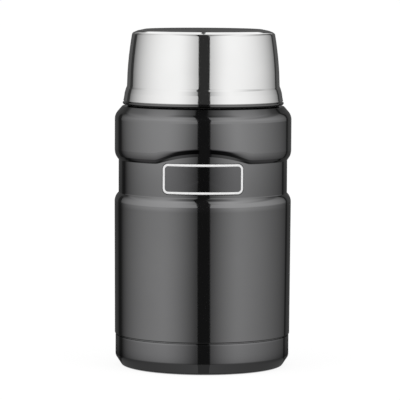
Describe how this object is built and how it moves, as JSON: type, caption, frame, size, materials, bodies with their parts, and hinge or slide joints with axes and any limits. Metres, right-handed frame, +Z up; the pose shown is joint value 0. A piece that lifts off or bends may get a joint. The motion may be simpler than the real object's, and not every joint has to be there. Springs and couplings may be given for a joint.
{
  "type": "insulated food jar",
  "caption": "Vacuum food jar: steel body with a recessed waist, a screw stopper with a grip bar in its finger well, and an insulated bowl that screws on as the lid.",
  "frame": {"origin": "centre of the circle that the jar stands on, at the height of the table", "axes": "+Z up along the jar's axis; -Y towards the front, where the waist's upper edge rises in an arch"},
  "size_m": [0.1018, 0.1018, 0.1942],
  "materials": {
    "gunmetal_coat": "clear-coated gunmetal over steel, glossy",
    "gunmetal_base": "clear-coated gunmetal over steel, glossy",
    "hidden_steel": "as pressed",
    "solder_glass": "fused",
    "getter_metal": "sintered, matte",
    "vessel_steel": "electropolished satin",
    "copper_foil": "bright copper foil",
    "silicone": "translucent grey silicone, matte",
    "stopper_plastic": "fine spark-eroded texture",
    "foam": "closed-cell foam",
    "black_rubber": "matte silicone",
    "collar_plastic": "moulded, matte",
    "bowl_steel": "spun satin",
    "lid_steel": "fine satin, brushed round the axis"
  },
  "bodies": {
    "jar": {"outer_shell": "gunmetal_coat", "base_cup": "gunmetal_base", "vacuum_floor": "hidden_steel", "evacuation_seal": "solder_glass", "getter": "getter_metal", "getter_clip": "hidden_steel", "inner_vessel": "vessel_steel", "vessel_floor": "vessel_steel", "heat_shield": "copper_foil", "floor_foil": "copper_foil"},
    "stopper_seal": {"stopper_gasket": "silicone"},
    "stopper": {"stopper_plug": "stopper_plastic", "stopper_foam": "foam", "stopper_cap": "stopper_plastic"},
    "lid_seal": {"lid_seat_ring": "black_rubber"},
    "lid": {"lid_collar": "collar_plastic", "lid_liner": "bowl_steel", "lid_shell": "lid_steel"}
  },
  "joints": [
    {"name": "stopper_rise", "type": "slide", "parent": "jar", "child": "stopper_seal", "axis": [0, 0, 1], "range_m": [0, 0.06]},
    {"name": "stopper_turn", "type": "hinge", "parent": "stopper_seal", "child": "stopper", "pos_m": [0, 0, 0.155], "axis": [0, 0, 1], "range_deg": [0, 1440]},
    {"name": "lid_rise", "type": "slide", "parent": "stopper", "child": "lid_seal", "axis": [0, 0, 1], "range_m": [0, 0.09]},
    {"name": "lid_turn", "type": "hinge", "parent": "lid_seal", "child": "lid", "pos_m": [0, 0, 0.155], "axis": [0, 0, 1], "range_deg": [0, 2160]}
  ],
  "couplings": [
    {"joint": "stopper_rise", "follows": "stopper_turn", "m_per_rad": 0.0023873},
    {"joint": "lid_rise", "follows": "lid_turn", "m_per_rad": 0.0023873}
  ]
}
